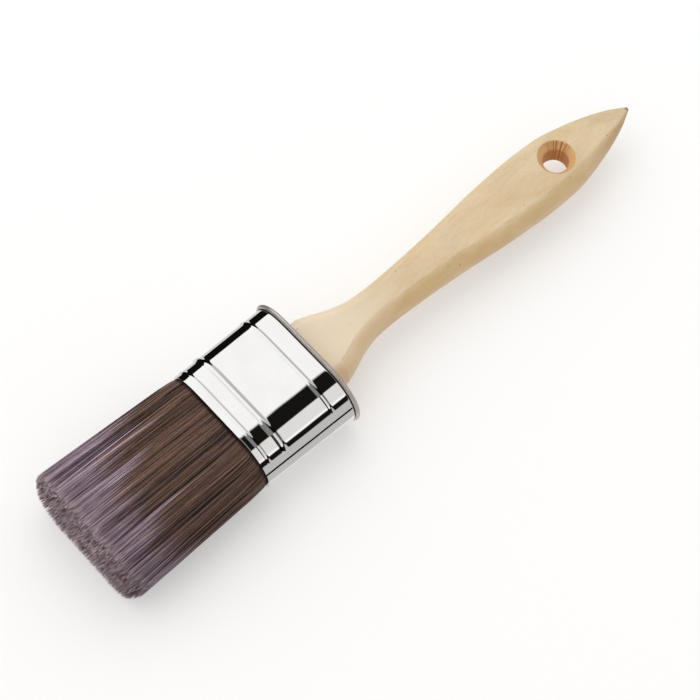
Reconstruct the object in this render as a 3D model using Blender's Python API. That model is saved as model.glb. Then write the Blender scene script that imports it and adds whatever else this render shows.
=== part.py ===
"""Oval paint brush, 45 mm size, lying on its broad back face.

The brush is a wooden handle whose oval head fills the top of a tinplate ferrule, a resin setting with a
socket for each filament tuft, a spacer plug that keeps a paint reservoir open between the tufts, and a flared
pack of synthetic filaments.  Every piece is its own closed object.  Units are metres.

Axes: +X across the width towards the ferrule's lap seam, +Y along the brush towards the handle's tip,
+Z up through the thickness.  Lengths along the brush are counted from the ferrule's rim and then moved by
RIM_Y, so that the origin is under the middle of the whole brush, on the surface that it lies on.
"""

import math

import bmesh
import bpy

# Driving dimensions -------------------------------------------------------------------------------------
FERRULE_WIDTH = 0.0450        # across the mouth, outside
FERRULE_THICKNESS = 0.0220    # across the mouth, outside
FERRULE_LENGTH = 0.0345       # mouth to rim
FERRULE_TAPER = 0.0005        # how much further out the rim's wall is than the mouth's
WALL = 0.0005                 # tinplate
GAP = 0.0003                  # clearance between pieces that touch
BRISTLE_LENGTH = 0.0530       # out of the ferrule
BRISTLE_END_WIDTH = 0.0490
BRISTLE_END_THICKNESS = 0.0250
HANDLE_LENGTH = 0.1388        # rim to tip

# Ferrule details
BEADS = (                             # centre as a part of the length from the rim, height, half width
    (0.203, 0.00032, 0.0011), (0.745, 0.00050, 0.0016), (0.922, 0.00026, 0.0010),
)
ROLL_RADIUS = 0.0007                  # the rim is curled outwards into this roll
ROLL_PROUD = 0.0010                   # how far the roll stands out of the wall
LAP_HEIGHT = 0.00030                  # the seam's outer layer
LAP_START = math.radians(22.5)        # the seam's edge, measured around the +X end from the X axis
LAP_END = math.radians(-52.0)

# Handle details
HEAD_TOP = -0.0016            # the head sits just inside the rim
HEAD_BOTTOM = -0.0140
SHOULDER_Y = 0.0068
HALF_WIDTHS = (               # distance from the rim, half width of the plan outline
    (0.0068, 0.0129), (0.0110, 0.0112), (0.0175, 0.0086), (0.0240, 0.0072), (0.0310, 0.00695),
    (0.0450, 0.0075), (0.0600, 0.0086), (0.0780, 0.0104), (0.0960, 0.0113), (0.1060, 0.0110),
    (0.1150, 0.0094), (0.1250, 0.0067), (0.1330, 0.0037), (0.1388, 0.0006),
)
HALF_THICKNESSES = (          # distance from the rim, half thickness
    (-0.0016, 0.0070), (0.0120, 0.0068), (0.0280, 0.0061), (0.0400, 0.0060), (0.1000, 0.0060),
    (0.1120, 0.0057), (0.1240, 0.0044), (0.1330, 0.0024), (0.1388, 0.0005),
)
SIDE_DEPTH = 0.6              # the rounded side stands out of the flat face by this part of half thickness
HOLE_Y = 0.1061
HOLE_RADIUS = 0.0043
COUNTERSINK_RADIUS = 0.00625
COUNTERSINK_DEPTH = 0.0026

# Filament pack and setting
RESIN_TOP = -0.0143
RESIN_BOTTOM = -0.0260
BUTT_Y = -0.0200              # the filaments' cut ends, inside the resin's sockets
PLUG_HALF_WIDTH = 0.0124
PLUG_HALF_THICKNESS = 0.0013
PLUG_END = -0.0365
ROW_INNER = 0.0016            # the middle layer's half thickness at the ferrule
ROW_MIDDLE = 0.0060           # where the inner layers meet the outer layers
ROW_INNER_AT_TIP = 0.0006     # the layers close over the reservoir towards the tips
COLUMNS = 8
SOCKET_SCALE = 0.92           # size of a socket and of a filament butt, compared with the tuft's cell
BUTT_SCALE = 0.82
END_TILT = 0.0020             # the front's tips are this much shorter than the back's
CORNER_RADIUS_LEFT = 0.0035   # the trimmed end's corners, in plan
CORNER_RADIUS_RIGHT = 0.0070

# Worked out from those
END_RADIUS = FERRULE_THICKNESS / 2
FLAT_HALF = (FERRULE_WIDTH - FERRULE_THICKNESS) / 2
AXIS_Z = BRISTLE_END_THICKNESS / 2
MOUTH_Y = -FERRULE_LENGTH
BRISTLE_END_Y = MOUTH_Y - BRISTLE_LENGTH
RIM_Y = -(HANDLE_LENGTH + BRISTLE_END_Y) / 2
INSIDE_RADIUS = END_RADIUS - WALL - GAP
ARC_STEPS = 12
FLAT_STEPS = 4


def clear_scene():
    """Removes whatever the scene holds."""
    for item in list(bpy.data.objects):
        bpy.data.objects.remove(item, do_unlink=True)


def material(name, colour, roughness, metallic=0.0):
    """A plain Principled material."""
    made = bpy.data.materials.new(name)
    made.use_nodes = True
    shader = made.node_tree.nodes["Principled BSDF"]
    shader.inputs["Base Color"].default_value = (*colour, 1.0)
    shader.inputs["Roughness"].default_value = roughness
    shader.inputs["Metallic"].default_value = metallic
    return made


def add_object(name, mesh_data, finish, hide=False):
    """Puts a bmesh into the scene as a named object."""
    mesh = bpy.data.meshes.new(name)
    bmesh.ops.recalc_face_normals(mesh_data, faces=mesh_data.faces)
    mesh_data.to_mesh(mesh)
    mesh_data.free()
    mesh.shade_smooth()
    mesh.set_sharp_from_angle(angle=math.radians(35))
    if finish is not None:
        mesh.materials.append(finish)
    item = bpy.data.objects.new(name, mesh)
    bpy.context.scene.collection.objects.link(item)
    if hide:
        item.hide_render = True
        item.display_type = "WIRE"
    return item


def placed(x, y, z):
    """A point given from the rim's centre, in the scene's frame."""
    return (x, y + RIM_Y, z + AXIS_Z)


def loft(rings, closed=False):
    """Skins rings that have equal counts of points.  An open loft gets a cap at each end."""
    mesh_data = bmesh.new()
    loops = [[mesh_data.verts.new(placed(*point)) for point in ring] for ring in rings]
    pairs = list(zip(loops, loops[1:]))
    if closed:
        pairs.append((loops[-1], loops[0]))
    for first, second in pairs:
        count = len(first)
        for index in range(count):
            after = (index + 1) % count
            mesh_data.faces.new((first[index], first[after], second[after], second[index]))
    if not closed:
        mesh_data.faces.new(loops[0])
        mesh_data.faces.new(loops[-1])
    return mesh_data


def smooth_value(points, position):
    """A curve through the points that never overshoots them."""
    if position <= points[0][0]:
        return points[0][1]
    if position >= points[-1][0]:
        return points[-1][1]
    slopes = [(b[1] - a[1]) / (b[0] - a[0]) for a, b in zip(points, points[1:])]
    tangents = [slopes[0]]
    for before, after in zip(slopes, slopes[1:]):
        same_way = before * after > 0
        tangents.append(2 * before * after / (before + after) if same_way else 0.0)
    tangents.append(slopes[-1])
    index = max(i for i, point in enumerate(points[:-1]) if point[0] <= position)
    (x0, y0), (x1, y1) = points[index], points[index + 1]
    span = x1 - x0
    t = (position - x0) / span
    start = (1 + 2 * t) * (1 - t) ** 2 * y0 + t * (1 - t) ** 2 * span * tangents[index]
    return start + t * t * (3 - 2 * t) * y1 + t * t * (t - 1) * span * tangents[index + 1]


def section_angles():
    """Angles around the +X end, then the -X end, of a section with two flats and two rounded ends."""
    right = [math.pi / 2 - math.pi * i / ARC_STEPS for i in range(ARC_STEPS + 1)]
    return right, [angle - math.pi for angle in right]


def with_flats(right, left):
    """Joins the two rounded ends with evenly divided flats."""
    ring = list(right)
    for start, end, goal in ((right[-1], left[0], left), (left[-1], right[0], [])):
        for step in range(1, FLAT_STEPS):
            part = step / FLAT_STEPS
            ring.append(tuple(a + (b - a) * part for a, b in zip(start, end)))
        ring.extend(goal)
    return ring


def oval_ring(y, radius, flat_half=FLAT_HALF):
    """A ring with flat broad faces and half-round ends."""
    right_angles, left_angles = section_angles()
    right = [(flat_half + radius * math.cos(a), y, radius * math.sin(a)) for a in right_angles]
    left = [(-flat_half + radius * math.cos(a), y, radius * math.sin(a)) for a in left_angles]
    return with_flats(right, left)


# Handle -------------------------------------------------------------------------------------------------
def handle_ring(y, half_width, half_thickness):
    """A flat board's section whose sides are arcs that meet the broad faces at a ridge."""
    depth = min(SIDE_DEPTH * half_thickness, 0.6 * half_width)
    radius = (depth ** 2 + half_thickness ** 2) / (2 * depth)
    spread = math.asin(half_thickness / radius)
    centre = half_width - radius
    angles = [spread - 2 * spread * i / ARC_STEPS for i in range(ARC_STEPS + 1)]
    right = [(centre + radius * math.cos(a), y, radius * math.sin(a)) for a in angles]
    left = [(-x, y, -z) for x, y, z in right]
    return with_flats(right, left)


def handle_stations():
    """Distances from the rim of the handle's rings, closer together where the outline turns."""
    flare = [SHOULDER_Y + 0.0016 * i for i in range(1, 12)]
    grip = [0.0270 + 0.0062 * i for i in range(12)]
    point = [0.1010 + 0.0036 * i for i in range(11)]
    return flare + grip + point + [HANDLE_LENGTH]


def hole_cutter():
    """The hanging hole's bore with a countersink at each face, as one turned cutter."""
    beyond = 0.003
    top = smooth_value(HALF_THICKNESSES, HOLE_Y)
    slope = (COUNTERSINK_RADIUS - HOLE_RADIUS) / COUNTERSINK_DEPTH
    profile = [
        (COUNTERSINK_RADIUS + slope * beyond, top + beyond),
        (HOLE_RADIUS, top - COUNTERSINK_DEPTH),
        (HOLE_RADIUS, COUNTERSINK_DEPTH - top),
        (COUNTERSINK_RADIUS + slope * beyond, -top - beyond),
    ]
    sides = 32
    rings = []
    for radius, z in profile:
        turns = [2 * math.pi * i / sides for i in range(sides)]
        rings.append([(radius * math.cos(a), HOLE_Y + radius * math.sin(a), z) for a in turns])
    return add_object("handle_hole_cutter", loft(rings), None, hide=True)


def build_handle(finish):
    """The one-piece wooden handle: oval head, shouldered root, neck, belly, pointed tip, hanging hole."""
    rings = [
        oval_ring(HEAD_BOTTOM, INSIDE_RADIUS - 0.0008),
        oval_ring(HEAD_BOTTOM + 0.0008, INSIDE_RADIUS),
        oval_ring(HEAD_TOP, INSIDE_RADIUS),
    ]
    root_width = HALF_WIDTHS[0][1]
    rings.append(handle_ring(HEAD_TOP, root_width, smooth_value(HALF_THICKNESSES, HEAD_TOP)))
    rings.append(handle_ring(SHOULDER_Y - 0.0008, root_width, smooth_value(HALF_THICKNESSES, SHOULDER_Y)))
    rings.append(handle_ring(SHOULDER_Y, root_width - 0.0003, smooth_value(HALF_THICKNESSES, SHOULDER_Y)))
    for y in handle_stations():
        rings.append(handle_ring(y, smooth_value(HALF_WIDTHS, y), smooth_value(HALF_THICKNESSES, y)))
    handle = add_object("handle", loft(rings), finish)
    cut = handle.modifiers.new("hanging_hole", "BOOLEAN")
    cut.operation = "DIFFERENCE"
    cut.object = hole_cutter()
    return handle


# Ferrule ------------------------------------------------------------------------------------------------
def bead_lift(y):
    """How far the rolled beads lift the wall at this distance from the rim."""
    lift = 0.0
    for fraction, height, half_width in BEADS:
        across = abs(y + fraction * FERRULE_LENGTH) / half_width
        if across < 1:
            lift = height * math.cos(across * math.pi / 2) ** 2
    return lift


def wall_stations():
    """Distances from the rim, from the mouth up: the wall's ends and five rings for each bead."""
    stations = [MOUTH_Y, 0.0]
    for fraction, _, half_width in BEADS:
        stations += [-fraction * FERRULE_LENGTH + half_width * part for part in (-1, -0.5, 0, 0.5, 1)]
    return sorted(stations)


def taper(y):
    """The ferrule widens evenly from its mouth to its rim."""
    return FERRULE_TAPER * (y - MOUTH_Y) / FERRULE_LENGTH


def ferrule_profile():
    """(distance from the rim, distance out of the mouth's wall, whether it is on the outside)."""
    outside = [(y, taper(y) + bead_lift(y), True) for y in wall_stations()]
    roll_centre = FERRULE_TAPER + ROLL_PROUD - ROLL_RADIUS
    roll = []
    for degrees in (-50, -10, 30, 70, 110, 150, 190):
        turn = math.radians(degrees)
        along = ROLL_RADIUS * (1 + math.sin(turn))
        roll.append((along, roll_centre + ROLL_RADIUS * math.cos(turn), False))
    inside = [(y, taper(y) + bead_lift(y) - WALL, False) for y in reversed(wall_stations())]
    return outside + roll + inside


def lap_lift(x, z):
    """The seam's outer layer, a strip along the ferrule's +X end."""
    if x <= FLAT_HALF:
        return 0.0
    turn = math.atan2(z, x - FLAT_HALF)
    return LAP_HEIGHT if LAP_END < turn < LAP_START else 0.0


def ferrule_ring(y, out, on_outside):
    """One ring of the ferrule's wall."""
    base = oval_ring(y, END_RADIUS + out)
    if not on_outside:
        return base
    raised = oval_ring(y, END_RADIUS + out + LAP_HEIGHT)
    return [high if lap_lift(low[0], low[2]) else low for low, high in zip(base, raised)]


def build_ferrule(finish):
    """The tinplate ferrule: tapered oval wall, three raised beads, curled rim and lap seam."""
    rings = [ferrule_ring(*row) for row in ferrule_profile()]
    return add_object("ferrule", loft(rings, closed=True), finish)


# Filament tufts, their setting and the spacer plug ------------------------------------------------------
def clipped(polygon, axis, limit, keep_above):
    """The part of a convex polygon on one side of a line x = limit (axis 0) or z = limit (axis 1)."""
    sign = 1 if keep_above else -1
    kept = []
    for start, end in zip(polygon, polygon[1:] + polygon[:1]):
        depth_start = sign * (start[axis] - limit)
        depth_end = sign * (end[axis] - limit)
        if depth_start >= 0:
            kept.append(start)
        if depth_start * depth_end < 0:
            part = depth_start / (depth_start - depth_end)
            kept.append(tuple(a + (b - a) * part for a, b in zip(start, end)))
    return kept


def cell(x_low, x_high, z_low, z_high):
    """The pack's section between these limits, with half the clearance taken off each cut side."""
    polygon = [(x, z) for x, _, z in oval_ring(0.0, INSIDE_RADIUS)]
    inset = GAP / 2
    for axis, limit, above in ((0, x_low + inset, True), (0, x_high - inset, False),
                               (1, z_low + inset, True), (1, z_high - inset, False)):
        polygon = clipped(polygon, axis, limit, above)
    return polygon


def tuft_cells():
    """Every tuft's name and section: outer and inner layers front and back, and one tuft at each edge."""
    reach = FLAT_HALF + INSIDE_RADIUS + GAP
    cells = {}
    for layer, low, high in (("inner", ROW_INNER, ROW_MIDDLE), ("outer", ROW_MIDDLE, INSIDE_RADIUS + GAP)):
        half_span = FLAT_HALF + math.sqrt(INSIDE_RADIUS ** 2 - low ** 2)
        step = 2 * half_span / COLUMNS
        for column in range(COLUMNS):
            x_low = -half_span + step * column
            name = f"{layer}_{column + 1}"
            cells[f"tuft_front_{name}"] = cell(x_low, x_low + step, low, high)
            cells[f"tuft_back_{name}"] = cell(x_low, x_low + step, -high, -low)
    edge = PLUG_HALF_WIDTH + GAP
    cells["tuft_edge_left"] = cell(-reach, -edge, -ROW_INNER, ROW_INNER)
    cells["tuft_edge_right"] = cell(edge, reach, -ROW_INNER, ROW_INNER)
    return cells


def shrunk(polygon, scale):
    """The polygon scaled about its own middle."""
    middle_x = sum(x for x, _ in polygon) / len(polygon)
    middle_z = sum(z for _, z in polygon) / len(polygon)
    return [(middle_x + (x - middle_x) * scale, middle_z + (z - middle_z) * scale) for x, z in polygon]


def flared(x, z, out):
    """Moves a section point as the pack opens: out is 0 at the ferrule's mouth and 1 at the tips."""
    bulge = min(1.0, out * 12) * 0.0007
    half_width = FLAT_HALF + INSIDE_RADIUS
    opened = BRISTLE_END_WIDTH / 2 - half_width - 0.0007
    wide = half_width + bulge + opened * out
    deep = INSIDE_RADIUS + bulge + (BRISTLE_END_THICKNESS / 2 - INSIDE_RADIUS - 0.0007) * out
    inner = ROW_INNER + (ROW_INNER_AT_TIP - ROW_INNER) * out
    if abs(z) <= ROW_INNER:
        height = abs(z) / ROW_INNER * inner
    else:
        height = inner + (abs(z) - ROW_INNER) * (deep - inner) / (INSIDE_RADIUS - ROW_INNER)
    return x * wide / half_width, math.copysign(height, z)


def end_of_filaments(x, z):
    """The trimmed end leans back a little and has a rounded corner at each side."""
    leaning = BRISTLE_END_Y + END_TILT * (z / BRISTLE_END_THICKNESS + 0.5)
    radius = CORNER_RADIUS_RIGHT if x > 0 else CORNER_RADIUS_LEFT
    past = abs(x) - (BRISTLE_END_WIDTH / 2 - radius)
    if past <= 0:
        return leaning
    return leaning + radius - math.sqrt(max(0.0, radius ** 2 - past ** 2))


def tuft_rings(polygon):
    """Rings of one tuft from its butt in the resin to its trimmed end."""
    rings = []
    for y, scale in ((BUTT_Y, BUTT_SCALE), (RESIN_BOTTOM, BUTT_SCALE), (MOUTH_Y + 0.002, 1.0)):
        rings.append([(x, y, z) for x, z in shrunk(polygon, scale)])
    for out in (0.08, 0.55, 0.9, 1.0):
        ring = []
        for x, z in polygon:
            wide_x, high_z = flared(x, z, out)
            end = end_of_filaments(wide_x, high_z)
            ring.append((wide_x, MOUTH_Y + out * (end - MOUTH_Y), high_z))
        rings.append(ring)
    return rings


def plug_section():
    """The spacer plug's flat section."""
    return [(PLUG_HALF_WIDTH, PLUG_HALF_THICKNESS), (PLUG_HALF_WIDTH, -PLUG_HALF_THICKNESS),
            (-PLUG_HALF_WIDTH, -PLUG_HALF_THICKNESS), (-PLUG_HALF_WIDTH, PLUG_HALF_THICKNESS)]


def build_tufts(cells, finish):
    """One object for each tuft of filaments."""
    for name, polygon in cells.items():
        add_object(name, loft(tuft_rings(polygon)), finish)


def build_plug(finish):
    """The spacer plug, a flat wedge between the inner layers that stands in the resin."""
    rings = []
    for y, scale in ((BUTT_Y, 1.0), (MOUTH_Y, 1.0), (PLUG_END, 0.55)):
        rings.append([(x * (0.5 + 0.5 * scale), y, z * scale) for x, z in plug_section()])
    return add_object("spacer_plug", loft(rings), finish)


def build_resin(cells, finish):
    """The resin setting: an oval block with a blind socket for each tuft and for the plug."""
    block = add_object("resin_setting", loft([oval_ring(RESIN_TOP, INSIDE_RADIUS),
                                              oval_ring(RESIN_BOTTOM, INSIDE_RADIUS)]), finish)
    sockets = [shrunk(polygon, SOCKET_SCALE) for polygon in cells.values()]
    sockets.append([(x + math.copysign(GAP, x), z + math.copysign(GAP, z)) for x, z in plug_section()])
    cutter_mesh = bmesh.new()
    for polygon in sockets:
        ends = [BUTT_Y + GAP, RESIN_BOTTOM - 0.002]
        loops = [[cutter_mesh.verts.new(placed(x, y, z)) for x, z in polygon] for y in ends]
        count = len(polygon)
        for index in range(count):
            after = (index + 1) % count
            cutter_mesh.faces.new((loops[0][index], loops[0][after], loops[1][after], loops[1][index]))
        cutter_mesh.faces.new(loops[0])
        cutter_mesh.faces.new(loops[1])
    cut = block.modifiers.new("sockets", "BOOLEAN")
    cut.operation = "DIFFERENCE"
    cut.object = add_object("resin_socket_cutter", cutter_mesh, None, hide=True)
    return block


def main():
    """Builds the whole brush."""
    clear_scene()
    wood = material("pale_wood", (0.72, 0.55, 0.36), 0.55)
    tinplate = material("tinplate", (0.82, 0.82, 0.84), 0.12, metallic=1.0)
    resin = material("amber_resin", (0.42, 0.27, 0.10), 0.35)
    plug_wood = material("plug_wood", (0.62, 0.50, 0.34), 0.7)
    filament = material("brown_filament", (0.075, 0.045, 0.035), 0.5)
    cells = tuft_cells()
    build_handle(wood)
    build_ferrule(tinplate)
    build_resin(cells, resin)
    build_plug(plug_wood)
    build_tufts(cells, filament)


main()
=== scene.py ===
"""Looks of the oval paint brush, 45 mm size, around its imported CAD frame.

Everything is in metres and in the CAD's frame: +X across the width towards the ferrule's lap seam, +Y along
the brush towards the handle's tip, +Z up through the thickness.  The handle, the ferrule and the filament
tufts are replaced by finer pieces, which keep the CAD's size to about a millimetre.  The resin setting and
the spacer plug keep their CAD meshes.
"""

import math

import bpy
import numpy as np
from mathutils import Matrix, Vector


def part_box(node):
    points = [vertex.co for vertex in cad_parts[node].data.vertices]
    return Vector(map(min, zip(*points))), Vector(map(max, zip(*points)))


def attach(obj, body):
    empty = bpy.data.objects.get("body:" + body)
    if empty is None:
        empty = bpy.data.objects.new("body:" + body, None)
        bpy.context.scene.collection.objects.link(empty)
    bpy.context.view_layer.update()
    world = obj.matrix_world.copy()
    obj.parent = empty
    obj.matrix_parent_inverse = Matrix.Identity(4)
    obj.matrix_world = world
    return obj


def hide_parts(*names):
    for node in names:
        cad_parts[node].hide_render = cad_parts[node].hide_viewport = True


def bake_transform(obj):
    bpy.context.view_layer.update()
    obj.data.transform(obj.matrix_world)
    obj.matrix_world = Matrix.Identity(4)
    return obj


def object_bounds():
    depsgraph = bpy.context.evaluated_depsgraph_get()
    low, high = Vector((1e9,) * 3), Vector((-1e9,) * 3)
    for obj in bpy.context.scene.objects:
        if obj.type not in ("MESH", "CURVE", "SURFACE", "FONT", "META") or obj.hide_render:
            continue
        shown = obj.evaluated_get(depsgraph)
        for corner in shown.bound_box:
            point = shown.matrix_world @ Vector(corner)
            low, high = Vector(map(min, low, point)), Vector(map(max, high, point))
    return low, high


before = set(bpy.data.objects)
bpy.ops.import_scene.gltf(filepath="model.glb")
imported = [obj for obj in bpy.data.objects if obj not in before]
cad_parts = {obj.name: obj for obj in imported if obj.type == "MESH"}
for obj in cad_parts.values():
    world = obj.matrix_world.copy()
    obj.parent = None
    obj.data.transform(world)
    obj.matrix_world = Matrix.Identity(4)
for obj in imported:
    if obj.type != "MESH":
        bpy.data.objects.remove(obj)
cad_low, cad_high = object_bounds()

# Ferrule: dimensions that the CAD's boxes don't give --------------------------
FERRULE_TAPER = 0.0005        # how much further out the rim's wall is than the mouth's
WALL = 0.0005                 # tinplate
GAP = 0.0003                  # clearance between the ferrule and what fills it
ROLL_RADIUS = 0.0007          # the rim's curl
ROLL_PROUD = 0.0010           # how far the curl stands out of the wall
BEADS = (                     # centre as a part of the ferrule's length from the rim, height, half width
    (0.203, 0.00032, 0.0011), (0.745, 0.00050, 0.0016), (0.922, 0.00026, 0.0010),
)
LAP_HEIGHT = 0.00030
LAP_START = 22.5              # the lap's edge, in degrees above the X axis, round the +X end
LAP_END = -52.0               # where the lap's height has run out, in degrees
LAP_RUN_OUT = 6.0             # degrees before and after LAP_END
GROOVE_DEPTH = 0.00030        # the groove beside the lap's edge, made a dark line by painted shade
GROOVE_WIDTH = 2.2            # degrees
BEAD_FADE = (27.0, 36.0)      # degrees above the X axis between which a bead runs out
BEAD_RETURN = -62.0           # the beads are back at full height here, in degrees
END_EASE = 0.0025             # the flats turn into the round ends over about this length
OUTLINE_POINTS = 720          # round the ferrule, before its columns are chosen
COLUMN_PITCH = 0.0004         # round the ferrule
DENT_HEIGHT = 0.000005        # unevenness of the pressed sheet

# Handle: dimensions that the CAD's boxes don't give ---------------------------
HEAD_TOP = -0.0016            # these distances are from the rim
HEAD_BOTTOM = -0.0140
SHOULDER_Y = 0.0068
HALF_WIDTHS = (               # distance from the rim, half width of the plan outline
    (0.0068, 0.0129), (0.0110, 0.0112), (0.0175, 0.0086), (0.0240, 0.0072), (0.0310, 0.00695),
    (0.0450, 0.0075), (0.0600, 0.0086), (0.0780, 0.0104), (0.0960, 0.0113), (0.1060, 0.0110),
    (0.1150, 0.0094), (0.1250, 0.0067), (0.1330, 0.0037), (0.1388, 0.0006),
)
HALF_THICKNESSES = (          # distance from the rim, half thickness
    (-0.0016, 0.0070), (0.0120, 0.0068), (0.0280, 0.0061), (0.0400, 0.0060), (0.1000, 0.0060),
    (0.1120, 0.0057), (0.1240, 0.0044), (0.1330, 0.0024), (0.1388, 0.0005),
)
SIDE_DEPTH = 0.6              # the rounded side stands out of the flat by this part of half thickness
RIDGE_SOFTNESS = 0.00035      # how far the sanding rounds the ridges
HOLE_Y = 0.1061
HOLE_RADIUS = 0.0043
COUNTERSINK_RADIUS = 0.00625
COUNTERSINK_DEPTH = 0.0026
HANDLE_COLUMNS = 176          # points round the handle
HANDLE_PITCH = 0.0007         # between rows along the grip
TIP_LENGTH = 0.004            # the rounded tip, which has closer rows
HOLE_SIDES = 96

# Filaments: dimensions that the CAD's boxes don't give ------------------------
ROW_INNER = 0.0016            # half the paint reservoir's thickness at the ferrule
ROW_MIDDLE = 0.0060           # where the inner tufts meet the outer tufts
ROW_INNER_AT_TIP = 0.0001     # the layers close over the reservoir towards the tips
COLUMNS = 8                   # tufts side by side in each layer
RESERVOIR_HALF_WIDTH = 0.0127
CORNER_RADIUS_LEFT = 0.0029   # the trimmed end's corners, in plan
CORNER_RADIUS_RIGHT = 0.0070
END_TILT = 0.0026             # the front's tips are this much shorter than the back's
END_PROUD = 0.0012            # the longest tips pass the tufts' trimmed ends
FILAMENT_RADIUS = 0.000105
FILAMENT_THINNING = 0.45      # the tips are thinner than the rest by this part
SURFACE_LAYERS = 8
LAYER_DEPTH = 0.00020         # between the surface layers
SURFACE_PITCH = 0.000235      # between the filaments of one layer
LOCK_PITCH = 0.0011           # between the locks that the surface filaments gather into
LOCK_DRIFT = 0.0006           # how far a lock's tips stray sideways
LOCK_RISE = 0.00018           # and out of the surface
FILAMENT_DRIFT = 0.00016      # how far one filament's tip strays from its lock
HIGHEST = 0.00006             # no filament comes nearer to the pack's surface
CORE_PITCH = 0.00040          # between the inner filaments
CORE_REACH = 0.00175          # the inner filaments start this far under the pack's surface
PATCH_SIZE = 0.0007           # neighbouring inner filaments share a length and a tone
COLOUR_TURNS = 0.76           # brown turns to mauve at this part of the length

# Places that the CAD's boxes give ---------------------------------------------
ferrule_low, ferrule_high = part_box("ferrule")
handle_low, handle_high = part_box("handle")
AXIS_Z = (ferrule_low.z + ferrule_high.z) / 2
MOUTH_Y = ferrule_low.y
RIM_Y = ferrule_high.y - 2 * ROLL_RADIUS
TIP_Y = handle_high.y
FERRULE_LENGTH = RIM_Y - MOUTH_Y
END_RADIUS = (ferrule_high.z - ferrule_low.z) / 2 - FERRULE_TAPER - ROLL_PROUD
FLAT_HALF = ferrule_high.x - FERRULE_TAPER - ROLL_PROUD - END_RADIUS
INSIDE_RADIUS = END_RADIUS - WALL - GAP
PACK_LENGTH = MOUTH_Y - cad_low.y
PACK_HALF_WIDTH = (cad_high.x - cad_low.x) / 2
PACK_HALF_THICKNESS = (cad_high.z - cad_low.z) / 2
OUTLINE_LENGTH = 4 * FLAT_HALF + 2 * math.pi * END_RADIUS

random = np.random.default_rng(45)


# Meshes -----------------------------------------------------------------------
def piece_from(name, points, faces, attributes=None, sharp=None):
    """A mesh object from points and a list of faces; attributes are floats, one for each point."""
    mesh = bpy.data.meshes.new(name)
    mesh.from_pydata(np.asarray(points).tolist(), [], faces)
    for label, values in (attributes or {}).items():
        made = mesh.attributes.new(label, "FLOAT", "POINT")
        made.data.foreach_set("value", np.asarray(values, np.float32))
    mesh.shade_smooth()
    if sharp is not None:
        mesh.set_sharp_from_angle(angle=math.radians(sharp))
    piece = bpy.data.objects.new(name, mesh)
    bpy.context.scene.collection.objects.link(piece)
    return piece


def ring_faces(rows, columns, closed=False):
    """Quads that skin rows of points; each row is a closed ring."""
    row = np.arange(rows if closed else rows - 1)[:, None]
    column = np.arange(columns)[None, :]
    after_row = (row + 1) % rows
    after_column = (column + 1) % columns
    corners = (row * columns + column, row * columns + after_column,
               after_row * columns + after_column, after_row * columns + column)
    return np.stack([np.broadcast_to(c, (len(row), columns)) for c in corners], -1).reshape(-1, 4)


def curve(points, positions):
    """A smooth curve through the points that never overshoots them."""
    xs, ys = np.array(points).T
    slopes = np.diff(ys) / np.diff(xs)
    before, after = slopes[:-1], slopes[1:]
    same_way = before * after > 0
    total = np.where(same_way, before + after, 1.0)
    middle = np.where(same_way, 2 * before * after / total, 0.0)
    tangents = np.concatenate([slopes[:1], middle, slopes[-1:]])
    positions = np.clip(positions, xs[0], xs[-1])
    index = np.clip(np.searchsorted(xs, positions, side="right") - 1, 0, len(xs) - 2)
    span = xs[index + 1] - xs[index]
    t = (positions - xs[index]) / span
    start = (1 + 2 * t) * (1 - t) ** 2 * ys[index] + t * (1 - t) ** 2 * span * tangents[index]
    return start + t * t * (3 - 2 * t) * ys[index + 1] + t * t * (t - 1) * span * tangents[index + 1]


def smooth_step(low, high, value):
    """0 below low, 1 above high and an even turn between."""
    t = np.clip((value - low) / (high - low), 0.0, 1.0)
    return t * t * (3 - 2 * t)


def on_oval(share, radius, flat_half):
    """Points round an oval and their outward directions; share goes from 0 to 1 round the outline.

    It starts at the -X end of the front face and runs towards +X.
    """
    flat, arc = 2 * flat_half, math.pi * radius
    along = np.mod(share, 1.0) * 2 * (flat + arc)
    turn_right = math.pi / 2 - (along - flat) / radius
    turn_left = -math.pi / 2 - (along - 2 * flat - arc) / radius
    front, right, back = along < flat, along < flat + arc, along < 2 * flat + arc
    turn = np.select([front, right, back], [math.pi / 2, turn_right, -math.pi / 2], turn_left)
    centres = [along - flat_half, flat_half, flat_half - (along - flat - arc)]
    centre = np.select([front, right, back], centres, -flat_half)
    outward = np.stack([np.cos(turn), np.sin(turn)], -1)
    return np.stack([centre + radius * outward[..., 0], radius * outward[..., 1]], -1), outward


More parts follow.
